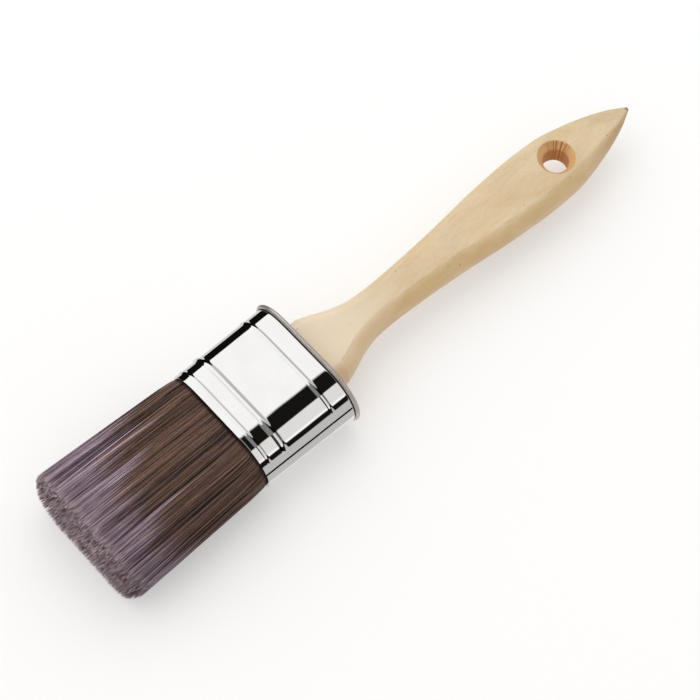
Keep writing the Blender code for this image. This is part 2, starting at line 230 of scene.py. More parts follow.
# Materials --------------------------------------------------------------------
class Nodes:
    """Short forms for building a node tree."""

    def __init__(self, tree):
        self.tree = tree

    def add(self, kind, settings=None, **inputs):
        """A node with its settings and inputs.  An input is given by its name, or as i0, i1 and so on."""
        node = self.tree.nodes.new(kind)
        for key, value in (settings or {}).items():
            setattr(node, key, value)
        for key, value in inputs.items():
            numbered = key[0] == "i" and key[1:].isdigit()
            self.put(node.inputs[int(key[1:]) if numbered else key.replace("_", " ")], value)
        return node

    def put(self, socket, value):
        """Links a socket to another one, or sets its value."""
        if isinstance(value, bpy.types.NodeSocket):
            self.tree.links.new(value, socket)
        elif isinstance(value, tuple) and len(value) == 3 and socket.type == "RGBA":
            socket.default_value = (*value, 1.0)
        else:
            socket.default_value = value

    def math(self, operation, first, second=0.0, clamp=False):
        settings = {"operation": operation, "use_clamp": clamp}
        return self.add("ShaderNodeMath", settings, i0=first, i1=second).outputs[0]

    def times(self, first, second):
        return self.math("MULTIPLY", first, second)

    def minus(self, value):
        return self.math("MULTIPLY", value, -1.0)

    def parts(self, vector):
        """The x, y and z of a vector."""
        return self.add("ShaderNodeSeparateXYZ", None, i0=vector).outputs

    def mix(self, amount, first, second, kind="MIX"):
        node = self.add("ShaderNodeMix", {"data_type": "RGBA", "blend_type": kind})
        self.put(node.inputs[0], amount)
        self.put(node.inputs[6], first)
        self.put(node.inputs[7], second)
        return node.outputs[2]

    def between(self, value, low, high, to_low=0.0, to_high=1.0):
        """A smooth step from to_low at low to to_high at high."""
        settings = {"interpolation_type": "SMOOTHSTEP"}
        node = self.add("ShaderNodeMapRange", settings, i0=value, i1=low, i2=high, i3=to_low, i4=to_high)
        return node.outputs[0]

    def noise(self, vector, detail=2.0, roughness=0.5, distortion=0.0):
        node = self.add("ShaderNodeTexNoise", None, Vector=vector, Scale=1.0, Detail=detail,
                        Roughness=roughness, Distortion=distortion)
        return node.outputs["Fac"]

    def position(self, stretch=(1.0, 1.0, 1.0), origin=(0.0, 0.0, 0.0)):
        """The point on the piece, in metres from origin, with each axis multiplied by stretch."""
        place = self.add("ShaderNodeTexCoord").outputs["Object"]
        moved = self.add("ShaderNodeVectorMath", {"operation": "SUBTRACT"}, i0=place, i1=origin)
        scaled = self.add("ShaderNodeVectorMath", {"operation": "MULTIPLY"}, i0=moved.outputs[0],
                          i1=stretch)
        return scaled.outputs[0]

    def attribute(self, name):
        return self.add("ShaderNodeAttribute", {"attribute_name": name}).outputs["Fac"]


class Finish(Nodes):
    """A material's node tree, around its Principled shader."""

    def __init__(self, name):
        self.material = bpy.data.materials.new(name)
        self.material.use_nodes = True
        super().__init__(self.material.node_tree)
        self.shader = self.tree.nodes["Principled BSDF"]

    def bump(self, height, distance, strength=1.0):
        node = self.add("ShaderNodeBump", None, Height=height, Distance=distance, Strength=strength)
        self.put(self.shader.inputs["Normal"], node.outputs[0])

    def surface(self, **values):
        """Sets the shader's inputs, and gives the finished material."""
        for key, value in values.items():
            self.put(self.shader.inputs[key.replace("_", " ")], value)
        return self.material


def srgb(red, green, blue):
    """A linear colour from a screen colour of 0 to 255."""
    parts = (red / 255, green / 255, blue / 255)
    return tuple(c / 12.92 if c <= 0.04045 else ((c + 0.055) / 1.055) ** 2.4 for c in parts)


def wood_grain(n, mottle, pores):
    """The colour along the grain: mottled, with rays, pores, flock and a few warm blotches."""
    rays = n.noise(n.position((520, 46, 700)), 3.0, 0.6, 0.4)
    flock = n.noise(n.position((1100, 700, 1100)), 2.0, 0.6)
    blotch = n.noise(n.position((70, 70, 70)), 2.0)
    colour = n.mix(n.between(mottle, 0.32, 0.70), srgb(204, 182, 144), srgb(215, 196, 164))
    colour = n.mix(n.between(rays, 0.5, 0.72, 0.0, 0.16), colour, srgb(196, 163, 112))
    colour = n.mix(n.between(pores, 0.48, 0.72, 0.0, 0.17), colour, srgb(172, 136, 88))
    colour = n.mix(n.between(flock, 0.45, 0.7, 0.0, 0.16), colour, srgb(190, 156, 104))
    colour = n.mix(n.between(blotch, 0.45, 0.7, 0.0, 0.25), colour, srgb(222, 190, 150))
    n.bump(n.math("ADD", n.times(pores, 0.6), n.times(rays, 0.4)), 0.00006, 0.35)
    return colour


def wood_sides(n, colour, mottle, normal, place):
    """The rounded sides, tinted darker as painted shade, fully on the +X side and less on the -X side:
    ochre on top and pinker below, darker in patches along the ridges and darker towards the tip.
    """
    sideways = n.math("ABSOLUTE", normal[0])
    # painted shade: the side tint is full on the +X side and 0.3 of it on the -X side, for the light that
    # falls from -X
    side = n.times(n.between(sideways, 0.25, 0.85), n.between(normal[0], -0.3, 0.3, 0.3, 1.0))
    low = n.between(place[2], AXIS_Z - 0.004, AXIS_Z + 0.005, 1.0, 0.0)
    painted_side_shade_colour = n.mix(low, srgb(206, 168, 102), srgb(210, 172, 132))
    painted_side_shade_colour = n.mix(n.between(mottle, 0.3, 0.7, 0.0, 0.5), painted_side_shade_colour, srgb(220, 186, 138))
    colour = n.mix(n.times(side, 0.55), colour, painted_side_shade_colour)
    # darker in noisy patches along the ridges
    ridge = n.times(n.between(sideways, 0.20, 0.32), n.between(sideways, 0.34, 0.48, 1.0, 0.0))
    ridge_patches = n.between(n.noise(n.position((60, 90, 60)), 2.0), 0.46, 0.60, 0.0, 0.40)
    colour = n.mix(n.times(ridge, ridge_patches), colour, srgb(176, 134, 78))
    # the sides darken towards the tip, most on the +X side
    darker_near_tip = n.times(side, n.between(place[1], TIP_Y - 0.030, TIP_Y - 0.004, 0.0, 0.6))
    return n.mix(darker_near_tip, colour, srgb(172, 128, 78))


def wood_at_hole(n, colour, mottle, normal):
    """The countersink and the bore: end grain, with dark streaks where the cutter tore it; the bore's
    darker, warmer colour is partly painted shade.
    """
    from_hole = n.position((1, 1, 0), (0, RIM_Y + HOLE_Y, 0))
    x, y, _ = n.parts(from_hole)
    away = n.add("ShaderNodeVectorMath", {"operation": "LENGTH"}, i0=from_hole).outputs["Value"]
    turn = n.math("ARCTAN2", y, x)
    streaks = n.add("ShaderNodeTexNoise", {"noise_dimensions": "1D"}, W=turn, Scale=7.0, Detail=4.0,
                    Roughness=0.7).outputs["Fac"]
    across_grain = n.between(n.math("COSINE", n.math("SUBTRACT", turn, 2.3)), 0.55, 0.85)
    torn = n.times(n.between(streaks, 0.50, 0.62, 0.0, 0.0008), across_grain)
    inside, outside = COUNTERSINK_RADIUS - 0.0002, COUNTERSINK_RADIUS + 0.00015
    cut = n.between(n.math("SUBTRACT", away, torn), inside, outside, 0.95, 0.0)
    cut_colour = n.mix(n.between(mottle, 0.3, 0.7), srgb(205, 158, 102), srgb(223, 182, 124))
    dark_streak = n.times(n.between(streaks, 0.36, 0.58, 1.0, 0.0), across_grain)
    cut_colour = n.mix(dark_streak, cut_colour, srgb(160, 96, 40))
    # the bore: end grain, darkened and warmed as painted shade for the shadow inside the hole
    bore_grain_and_painted_shade = n.mix(n.between(streaks, 0.36, 0.60), srgb(176, 100, 14), srgb(214, 146, 30))
    upright = n.between(n.math("ABSOLUTE", normal[2]), 0.10, 0.50, 0.95, 0.0)
    return n.mix(cut, colour, n.mix(upright, cut_colour, bore_grain_and_painted_shade))


def wood_material():
    """Pale close-grained hardwood under a thin clear coat, darker where the grain is cut across."""
    n = Finish("pale_wood_grain")
    place = n.parts(n.position())
    normal = n.parts(n.add("ShaderNodeTexCoord").outputs["Normal"])
    mottle = n.noise(n.position((150, 45, 150)), 3.0, 0.55, 0.6)
    pores = n.noise(n.position((2100, 230, 2100)), 3.0, 0.65)
    colour = wood_grain(n, mottle, pores)
    near_ferrule = n.between(place[1], RIM_Y + 0.01, RIM_Y + 0.045, 0.8, 0.0)
    colour = n.mix(near_ferrule, colour, srgb(229, 212, 189))
    colour = wood_sides(n, colour, mottle, normal, place)
    colour = wood_at_hole(n, colour, mottle, normal)
    specks = n.noise(n.position((1300, 520, 1300)), 0.0)
    colour = n.mix(n.between(specks, 0.81, 0.86, 0.0, 0.42), colour, srgb(140, 100, 60))
    dirty_point = n.between(place[1], TIP_Y - 0.0016, TIP_Y - 0.0004, 0.0, 0.75)
    colour = n.mix(dirty_point, colour, srgb(96, 70, 44))
    return n.surface(Base_Color=colour, Roughness=n.between(pores, 0.3, 0.7, 0.42, 0.56), Coat_Weight=0.12,
                     Coat_Roughness=0.35, Specular_IOR_Level=0.4)


def tinplate_material():
    """Bright tinplate: a sharp mirror with faint rolling marks and a few smudges."""
    n = Finish("bright_tinplate")
    smudge = n.noise(n.position((120, 120, 120)), 3.0, 0.6)
    rolling = n.noise(n.position((90, 4200, 90)), 2.0, 0.6)
    scratches = n.noise(n.position((1500, 120, 1500)), 4.0, 0.7)
    roughness = n.math("ADD", n.between(smudge, 0.35, 0.75, 0.018, 0.05),
                       n.between(scratches, 0.62, 0.72, 0.0, 0.08))
    tint = n.mix(n.between(smudge, 0.3, 0.7), (0.87, 0.868, 0.866), (0.845, 0.84, 0.835))
    n.bump(n.math("ADD", rolling, n.times(scratches, 0.5)), 0.000004, 0.25)
    return n.surface(Base_Color=tint, Metallic=1.0, Roughness=roughness)


def rim_material():
    """The curled edge: drawn metal, dulled by the press."""
    n = Finish("dulled_rim")
    wear = n.noise(n.position((500, 500, 500)), 3.0, 0.6)
    tint = n.mix(n.between(wear, 0.3, 0.7), (0.68, 0.62, 0.58), (0.80, 0.745, 0.705))
    n.bump(wear, 0.00001, 0.3)
    return n.surface(Base_Color=tint, Metallic=1.0, Roughness=n.between(wear, 0.3, 0.7, 0.42, 0.55))


def seam_gap_material():
    """Painted shade: near black in the groove beside the lap's edge and in the crease under the rim."""
    n = Finish("painted_seam_shade")
    shade_noise = n.noise(n.position((900, 300, 900)), 2.0)
    colour = n.mix(shade_noise, (0.006, 0.006, 0.006), (0.03, 0.027, 0.024))
    return n.surface(Base_Color=colour, Roughness=0.7, Specular_IOR_Level=0.2)


def filament_material():
    """Tapered synthetic filament: brown at the ferrule, turning mauve grey towards the tips, with painted
    shade at the mouth and towards +X and painted light on the trimmed tips.

    A filament's points carry its tone, how far along it they are, and where along it the colour turns.
    """
    n = Finish("filament_fibre")
    tone, along, turning = [n.attribute(name) for name in ("tone", "along", "turning")]
    across = n.parts(n.position())[0]
    fleck = n.noise(n.position((2500, 260, 2500)), 2.0, 0.6)
    shade = n.math("ADD", tone, n.times(n.math("SUBTRACT", fleck, 0.5), 0.6), clamp=True)
    # painted shade: the filaments darken towards +X, down to 0.66 of their tone, for the weaker light on
    # that side
    shade = n.times(shade, n.between(across, 0.006, 0.024, 1.0, 0.66))
    brown = n.mix(shade, srgb(24, 14, 11), srgb(137, 103, 87))
    mauve = n.mix(shade, srgb(76, 58, 72), srgb(200, 178, 192))
    # the tips lighten: partly fraying, and partly painted light on the trimmed end
    frayed_and_painted_light = n.mix(shade, srgb(96, 78, 82), srgb(238, 218, 222))
    colour = n.mix(n.between(n.math("SUBTRACT", along, turning), -0.10, 0.14), brown, mauve)
    colour = n.mix(n.between(along, 0.955, 0.99, 0.0, 0.7), colour, frayed_and_painted_light)
    # painted shade: near black over the first part of each filament, for the shadow at the ferrule's mouth
    painted_mouth_shadow = n.between(along, 0.004, 0.030, 0.85, 0.0)
    colour = n.mix(painted_mouth_shadow, colour, (0.004, 0.003, 0.003))
    return n.surface(Base_Color=colour, Roughness=n.between(shade, 0.0, 1.0, 0.50, 0.36),
                     Specular_IOR_Level=0.45)


def resin_material():
    """Cast amber resin with small bubbles."""
    n = Finish("cast_amber_resin")
    cloud = n.noise(n.position((220, 220, 220)), 3.0)
    bubbles = n.noise(n.position((1400, 1400, 1400)), 1.0)
    n.bump(bubbles, 0.0001, 0.4)
    return n.surface(Base_Color=n.mix(cloud, srgb(150, 96, 38), srgb(196, 140, 70)),
                     Roughness=n.between(cloud, 0.3, 0.7, 0.25, 0.4))


def plug_material():
    """Raw softwood strip."""
    n = Finish("raw_plug_wood")
    grain = n.noise(n.position((90, 1500, 900)), 3.0, 0.6, 0.5)
    n.bump(grain, 0.0001, 0.4)
    return n.surface(Base_Color=n.mix(grain, srgb(186, 150, 102), srgb(222, 196, 154)),
                     Roughness=n.between(grain, 0.3, 0.7, 0.6, 0.8))


def floor_material():
    """Matt pale paper on a light table, so that shadows stay soft."""
    n = Finish("floor_paper")
    fibre = n.noise(n.position((900, 900, 900)), 3.0)
    colour = n.mix(fibre, (0.61, 0.61, 0.61), (0.63, 0.63, 0.63))
    return n.surface(Base_Color=colour, Roughness=0.9, Specular_IOR_Level=0.1,
                     Emission_Color=(1.0, 0.998, 0.995), Emission_Strength=0.33)


def card_material(name, brightness):
    """A card that gives its own even light and takes none."""
    n = Finish(name)
    return n.surface(Base_Color=(0.005, 0.005, 0.005), Roughness=1.0, Specular_IOR_Level=0.0,
                     Emission_Color=(1.0, 0.98, 0.96), Emission_Strength=brightness)


# Handle -----------------------------------------------------------------------
def even_ring(corners, count):
    """Points spaced evenly round a closed outline."""
    closed = np.vstack([corners, corners[:1]])
    steps = np.hypot(*np.diff(closed, axis=0).T)
    travelled = np.concatenate([[0.0], np.cumsum(steps)])
    wanted = np.arange(count) / count * travelled[-1]
    return np.stack([np.interp(wanted, travelled, closed[:, i]) for i in (0, 1)], -1)


def softened(ring, softness):
    """Rounds an evenly spaced ring by averaging each point with its neighbours."""
    spacing = np.hypot(*(ring[1] - ring[0]))
    reach = int(3 * softness / spacing) + 1
    offsets = np.arange(-reach, reach + 1)
    weights = np.exp(-0.5 * (offsets * spacing / softness) ** 2)
    weights /= weights.sum()
    return sum(w * np.roll(ring, int(o), axis=0) for o, w in zip(offsets, weights))


def grip_ring(half_width, half_thickness, count):
    """The handle's section: broad flat faces and sides that are arcs, with sanded ridges."""
    depth = min(SIDE_DEPTH * half_thickness, 0.6 * half_width)
    radius = (depth ** 2 + half_thickness ** 2) / (2 * depth)
    spread = math.asin(min(1.0, half_thickness / radius))
    turns = np.linspace(spread, -spread, 33)
    side = np.stack([half_width - radius + radius * np.cos(turns), radius * np.sin(turns)], -1)
    ring = even_ring(np.vstack([side, -side]), count)
    return softened(ring, min(RIDGE_SOFTNESS, 0.12 * half_thickness))


def oval_section(radius, count):
    """The oval head's section, starting where grip_ring starts."""
    turns = np.linspace(math.pi / 2, -math.pi / 2, 49)
    right = np.stack([FLAT_HALF + radius * np.cos(turns), radius * np.sin(turns)], -1)
    return even_ring(np.vstack([right, -right]), count)


def hole_cutter():
    """A turned cutter: the bore, and a countersink at each face."""
    top = float(curve(HALF_THICKNESSES, np.array(HOLE_Y)))
    slope = (COUNTERSINK_RADIUS - HOLE_RADIUS) / COUNTERSINK_DEPTH
    beyond = 0.002
    profile = [(COUNTERSINK_RADIUS + slope * beyond, top + beyond), (HOLE_RADIUS, top - COUNTERSINK_DEPTH)]
    profile += [(radius, -z) for radius, z in reversed(profile)]
    turns = np.linspace(0, 2 * math.pi, HOLE_SIDES, endpoint=False)
    points = [(radius * math.cos(turn), RIM_Y + HOLE_Y + radius * math.sin(turn), AXIS_Z + z)
              for radius, z in profile for turn in turns]
    faces = ring_faces(len(profile), HOLE_SIDES)[:, ::-1].tolist()
    last = (len(profile) - 1) * HOLE_SIDES
    faces.append(list(range(HOLE_SIDES)))
    faces.append(list(range(last, last + HOLE_SIDES))[::-1])
    return piece_from("hole_cutter", points, faces)


def cut_with(piece, cutter):
    """Applies a Boolean difference and removes the cutter."""
    modifier = piece.modifiers.new("cut", "BOOLEAN")
    modifier.operation = "DIFFERENCE"
    modifier.object = cutter
    bpy.context.view_layer.update()
    evaluated = piece.evaluated_get(bpy.context.evaluated_depsgraph_get())
    mesh = bpy.data.meshes.new_from_object(evaluated)
    piece.modifiers.clear()
    piece.data = mesh
    bpy.data.objects.remove(cutter, do_unlink=True)


def head_rows():
    """(distance from the rim, ring) for the oval head inside the ferrule."""
    edge = 0.0002
    chamfer = 0.0008
    return [(HEAD_BOTTOM, oval_section(INSIDE_RADIUS - chamfer, HANDLE_COLUMNS)),
            (HEAD_BOTTOM + chamfer, oval_section(INSIDE_RADIUS, HANDLE_COLUMNS)),
            (HEAD_TOP - edge, oval_section(INSIDE_RADIUS, HANDLE_COLUMNS)),
            (HEAD_TOP, oval_section(INSIDE_RADIUS - edge, HANDLE_COLUMNS))]


def shoulder_rows():
    """The straight part between the head and the flare, with a small fillet on the head."""
    fillet = 0.0006
    rows = []
    for y in (HEAD_TOP, HEAD_TOP + 0.0004, 0.002, 0.0045, SHOULDER_Y - 0.0006, SHOULDER_Y - 0.0002):
        width = HALF_WIDTHS[0][1] + fillet * max(0.0, 1 - (y - HEAD_TOP) / fillet)
        rows.append((y, grip_ring(width, float(curve(HALF_THICKNESSES, y)), HANDLE_COLUMNS)))
    return rows


def grip_rows():
    """The flare, the neck, the belly and the tip."""
    step = 0.0003             # the shoulder's small step at the start of the flare
    tip = HALF_WIDTHS[-1][0]
    grip = np.arange(SHOULDER_Y + step, tip - TIP_LENGTH, HANDLE_PITCH)
    rounded = tip - TIP_LENGTH * (1 - np.linspace(0, 1, 14) ** 0.7)
    rows = []
    for y in np.concatenate([grip, rounded]):
        width = float(curve(HALF_WIDTHS, y)) - step * smooth_step(0.0016, 0.0, y - SHOULDER_Y)
        rows.append((y, grip_ring(width, float(curve(HALF_THICKNESSES, y)), HANDLE_COLUMNS)))
    return rows


def build_handle(finish):
    """The wooden handle as one loft from the head to the tip, with its hanging hole."""
    rows = head_rows() + shoulder_rows() + grip_rows()
    points = np.concatenate([np.insert(ring, 1, y, axis=1) for y, ring in rows])
    points += np.array([0.0, RIM_Y, AXIS_Z])
    last = (len(rows) - 1) * HANDLE_COLUMNS
    faces = ring_faces(len(rows), HANDLE_COLUMNS).tolist()
    faces.append(list(range(HANDLE_COLUMNS))[::-1])
    faces.append(list(range(last, last + HANDLE_COLUMNS)))
    handle = piece_from("beavertail_handle", points, faces)
    cut_with(handle, hole_cutter())
    handle.data.shade_smooth()
    handle.data.set_sharp_from_angle(angle=math.radians(32))
    handle.data.materials.clear()
    handle.data.materials.append(finish)
    return handle


# Ferrule ----------------------------------------------------------------------
def seam_distances():
    """Distances round the outline of the columns that shape the lap's edge and the groove beside it."""
    before, after = (-0.35, -0.15, 0.0, 0.1), (0.0, 0.1, 0.35)
    degrees = LAP_START + np.array([*before, *[GROOVE_WIDTH + turn for turn in after]])
    return np.sort((90 - degrees) / 180 * math.pi * END_RADIUS)


def ferrule_outline():
    """Columns of the ferrule's wall: points, outward directions, distance round, degrees on the +X end."""
    turns = np.linspace(math.pi / 2, -math.pi / 2, 181)
    right = np.stack([FLAT_HALF + END_RADIUS * np.cos(turns), END_RADIUS * np.sin(turns)], -1)
    ring = softened(even_ring(np.vstack([right, -right]), OUTLINE_POINTS), END_EASE)
    ahead = np.roll(ring, -1, axis=0) - np.roll(ring, 1, axis=0)
    outward = np.stack([-ahead[:, 1], ahead[:, 0]], -1)
    outward /= np.linalg.norm(outward, axis=1)[:, None]
    seam, clear = seam_distances(), COLUMN_PITCH / 2
    even = np.arange(0, OUTLINE_LENGTH, COLUMN_PITCH)
    crowded = (even > seam[0] - clear) & (even < seam[-1] + clear)
    distance = np.sort(np.concatenate([even[~crowded], seam]))
    along = distance / OUTLINE_LENGTH * OUTLINE_POINTS
    low = np.floor(along).astype(int) % OUTLINE_POINTS
    high = (low + 1) % OUTLINE_POINTS
    part = (along - np.floor(along))[:, None]
    points = ring[low] * (1 - part) + ring[high] * part
    directions = outward[low] * (1 - part) + outward[high] * part
    arc = math.pi * END_RADIUS
    degrees = np.where(distance < arc, 90 - distance / arc * 180, np.nan)
    return points, directions, distance, degrees


def seam_lift(degrees):
    """The outer layer of the lap, with a groove along its edge."""
    edge = LAP_START + 0.05
    groove = (degrees > edge) & (degrees < edge + GROOVE_WIDTH)
    run_out = smooth_step(LAP_END - LAP_RUN_OUT, LAP_END + LAP_RUN_OUT, degrees)
    lap = np.where(degrees < edge, run_out, 0.0)
    return np.nan_to_num(lap) * LAP_HEIGHT - GROOVE_DEPTH * groove, groove


def bead_lift(y):
    """How far the beads lift the wall at this distance from the rim."""
    lift = 0.0
    for fraction, height, half_width in BEADS:
        across = min(1.0, abs(y + fraction * FERRULE_LENGTH) / half_width)
        lift += height * math.cos(across * math.pi / 2) ** 2
    return lift


def pressing_dents(distance, y):
    """The slight unevenness of pressed sheet, about a hundredth of a millimetre."""
    turn = distance / OUTLINE_LENGTH * 2 * math.pi
    waves = (np.sin(3 * turn + y * 210 + 0.7) * math.sin(y * 330 + 1.9)
             + 0.6 * np.sin(7 * turn - y * 420 + 2.1)
             + 0.4 * np.sin(2 * turn + y * 760))
    return DENT_HEIGHT * waves


def ferrule_rows():
    """The wall's rows from the mouth, up the outside, round the rim's curl and down the inside.

    A row is (distance from the rim, distance out of the mouth's wall, whether it is wall and not curl).
    """
    mouth = -FERRULE_LENGTH
    coarse = np.arange(mouth + 0.0004, -0.0008, 0.0004)
    fine = [np.linspace(-1.04, 1.04, 21) * half_width - fraction * FERRULE_LENGTH
            for fraction, _, half_width in BEADS]
    wall = np.unique(np.round(np.concatenate([coarse, *fine]), 6))
    wall = wall[wall > mouth + 0.0002]
    rows = [(mouth, -0.00012, True), (mouth + 0.00004, -0.00003, True), (mouth + 0.00014, 0.0, True)]
    rows += [(y, 0.0, True) for y in wall]
    crease = ((-0.0005, 0.0), (-0.0003, -0.00006), (-0.0001, -0.0002), (0.0001, -0.00024))
    rows += [(y, out, True) for y, out in crease]
    centre = ROLL_PROUD - ROLL_RADIUS
    for turn in np.radians(np.linspace(-112, 195, 29)):
        rows.append((ROLL_RADIUS * (1 + math.sin(turn)), centre + ROLL_RADIUS * math.cos(turn), False))
    rows += [(y, -WALL, True) for y in wall[::-3]]
    rows += [(mouth, -WALL, True)]
    return rows


def ferrule_rings(rows, outline, seam):
    """The points of each row, lifted by the taper, the beads, the dents and the lap."""
    points, directions, distance, degrees = outline
    above, below = smooth_step(*BEAD_FADE, degrees), smooth_step(-BEAD_FADE[1], BEAD_RETURN, degrees)
    fade = np.where(np.isnan(degrees), 1.0, above + below)
    rings = []
    for y, out, is_wall in rows:
        lift = np.full(len(distance), out + FERRULE_TAPER * min(1.0, 1 + y / FERRULE_LENGTH))
        if is_wall:
            lift += fade * bead_lift(y) + pressing_dents(distance, y)
        if is_wall and out > -WALL / 2:
            lift += seam * smooth_step(0.0, -0.0006, y)
        rings.append(np.insert(points + directions * lift[:, None], 1, y, axis=1))
    return rings


def ferrule_finishes(rows, groove):
    """Which of the ferrule's materials each face has: 0 bright, 1 the painted shade in the groove and the
    crease, 2 the dulled rim.
    """
    curl = np.flatnonzero([not is_wall for _, _, is_wall in rows])
    first, last = curl[0], curl[-1]
    used = np.zeros((len(rows), len(groove)), np.int32)
    # painted shade: the groove's faces and the crease under the curl take the near-black finish
    used[:first - 4] = groove & np.roll(groove, -1)
    used[first - 2:first + 1] = 1
    used[first + 1:last + 1] = 2
    return used


def build_ferrule(finish, painted_shade_finish, rim_finish):
    """The tinplate ferrule: tapered oval wall, beads that run out at the seam, lap, groove and rim."""
    outline = ferrule_outline()
    columns = len(outline[0])
    seam, groove = seam_lift(outline[3])
    rows = ferrule_rows()
    rings = ferrule_rings(rows, outline, seam)
    points = np.concatenate(rings) + np.array([0.0, RIM_Y, AXIS_Z])
    faces = ring_faces(len(rings), columns, closed=True).tolist()
    ferrule = piece_from("beaded_ferrule", points, faces, sharp=40)
    for material in (finish, painted_shade_finish, rim_finish):
        ferrule.data.materials.append(material)
    ferrule.data.polygons.foreach_set("material_index", ferrule_finishes(rows, groove).ravel())
    return ferrule


# Filaments --------------------------------------------------------------------
def pack_section(out):
    """Half width and half thickness of the pack; out is 0 at the ferrule's mouth and 1 at the tips."""
    opened = np.clip(out, 0, 1)
    bulge = np.minimum(1.0, opened * 12) * 0.00045 * (1 - opened)
    bulge -= 0.00018 * (opened < 0.02)
    inset = 0.0003            # room for the filaments that stray outwards
    half_width = FLAT_HALF + INSIDE_RADIUS
    wide = half_width + bulge + (PACK_HALF_WIDTH - inset - half_width) * opened
    deep = INSIDE_RADIUS + bulge + (PACK_HALF_THICKNESS - inset - INSIDE_RADIUS) * opened
    return wide, deep


def trimmed_end(x, z):
    """Distance from the mouth to the trimmed end: square, with a rounded corner at each side."""
    radius = np.where(x > 0, CORNER_RADIUS_RIGHT, CORNER_RADIUS_LEFT)
    past = np.clip(np.abs(x) - (PACK_HALF_WIDTH - radius), 0, radius * 0.999)
    corner = radius - np.sqrt(radius ** 2 - past ** 2)
    return PACK_LENGTH + END_PROUD - corner - END_TILT * (z / PACK_HALF_THICKNESS + 1) / 2


def lock_paths(count, depth, out, pitch):
    """Surface filaments at one depth, gathered into locks that drift across each other.

    Returns x and z for each filament at each value of out, and two random values that a lock's filaments
    share: one for their tone and one for where their colour turns.
    """
    outline = 4 * FLAT_HALF + 2 * math.pi * (INSIDE_RADIUS - depth)
    share = (np.arange(count) + random.uniform(-0.35, 0.35, count)) / count
    locks = max(8, int(outline / pitch))
    centres = np.sort((np.arange(locks) + random.uniform(-0.42, 0.42, locks)) / locks)
    nearest = np.argmin(np.abs(np.mod(share[:, None] - centres[None, :] + 0.5, 1.0) - 0.5), axis=1)
    offset = np.mod(centres[nearest] - share + 0.5, 1.0) - 0.5
    pull = random.uniform(0.25, 0.75, locks)[nearest]
    drift = random.normal(0, LOCK_DRIFT, locks)[nearest] + random.normal(0, FILAMENT_DRIFT, count)
    rise = random.normal(0, LOCK_RISE, locks)[nearest]
    lock_tone = random.normal(0, 1, locks)[nearest]
    lock_turn = random.normal(0, 1, locks)[nearest]
    wave = random.uniform(0, 2 * math.pi, locks)[nearest] + random.normal(0, 0.3, count)
    t = np.clip(out, 0, 1)[None, :]
    gather = smooth_step(0.0, 0.3, t) * (1 - 0.35 * smooth_step(0.75, 1.0, t))
    sway = drift[:, None] * t + 0.00014 * np.sin(wave[:, None] + 6 * t) * t
    moved = share[:, None] + offset[:, None] * pull[:, None] * gather + sway / outline
    wide, deep = pack_section(out)
    edge = (offset * outline / (pitch / 2)) ** 2
    under = depth + (0.00012 * edge * pull)[:, None] * gather - rise[:, None] * gather
    radius = deep[None, :] - np.maximum(under, HIGHEST)
    flat_half = np.broadcast_to((wide - deep)[None, :], radius.shape)
    section, _ = on_oval(moved, radius, flat_half)
    return section[..., 0], section[..., 1], lock_tone, lock_turn


def core_paths(out):
    """Inner filaments on a jittered grid, leaving the paint reservoir free."""
    half_width = FLAT_HALF + INSIDE_RADIUS
    xs = np.arange(-half_width, half_width, CORE_PITCH)
    zs = np.arange(-INSIDE_RADIUS, INSIDE_RADIUS, CORE_PITCH)
    x, z = [grid.ravel() for grid in np.meshgrid(xs, zs)]
    x = x + random.uniform(-0.4, 0.4, x.size) * CORE_PITCH
    z = z + random.uniform(-0.4, 0.4, z.size) * CORE_PITCH
    from_axis = np.hypot(np.maximum(np.abs(x) - FLAT_HALF, 0), z)
    in_reservoir = (np.abs(z) < ROW_INNER) & (np.abs(x) < RESERVOIR_HALF_WIDTH)
    keep = (from_axis < INSIDE_RADIUS - CORE_REACH) & ~in_reservoir
    x, z = x[keep], z[keep]
    wide, deep = pack_section(out)
    opened = np.clip(out, 0, 1)
    inner = ROW_INNER + (ROW_INNER_AT_TIP - ROW_INNER) * opened
    height = np.abs(z)[:, None]
    outer_height = inner + (height - ROW_INNER) * (deep - inner) / (INSIDE_RADIUS - ROW_INNER)
    height = np.where(height < ROW_INNER, height * inner / ROW_INNER, outer_height)
    stray = random.normal(0, 0.0002, (2, x.size, 1)) * opened
    return x[:, None] * (wide / half_width) + stray[0], np.sign(z)[:, None] * height + stray[1]


def tuft_of(x, z):
    """The CAD tuft that a filament belongs to, from where it leaves the ferrule."""
    if abs(z) < ROW_INNER:
        return "tuft_edge_right" if x > 0 else "tuft_edge_left"
    layer, low = ("inner", ROW_INNER) if abs(z) < ROW_MIDDLE else ("outer", ROW_MIDDLE)
    half_span = FLAT_HALF + math.sqrt(INSIDE_RADIUS ** 2 - low ** 2)
    column = min(COLUMNS, max(1, 1 + int((x + half_span) / (2 * half_span) * COLUMNS)))
    return f"tuft_{'front' if z > 0 else 'back'}_{layer}_{column}"


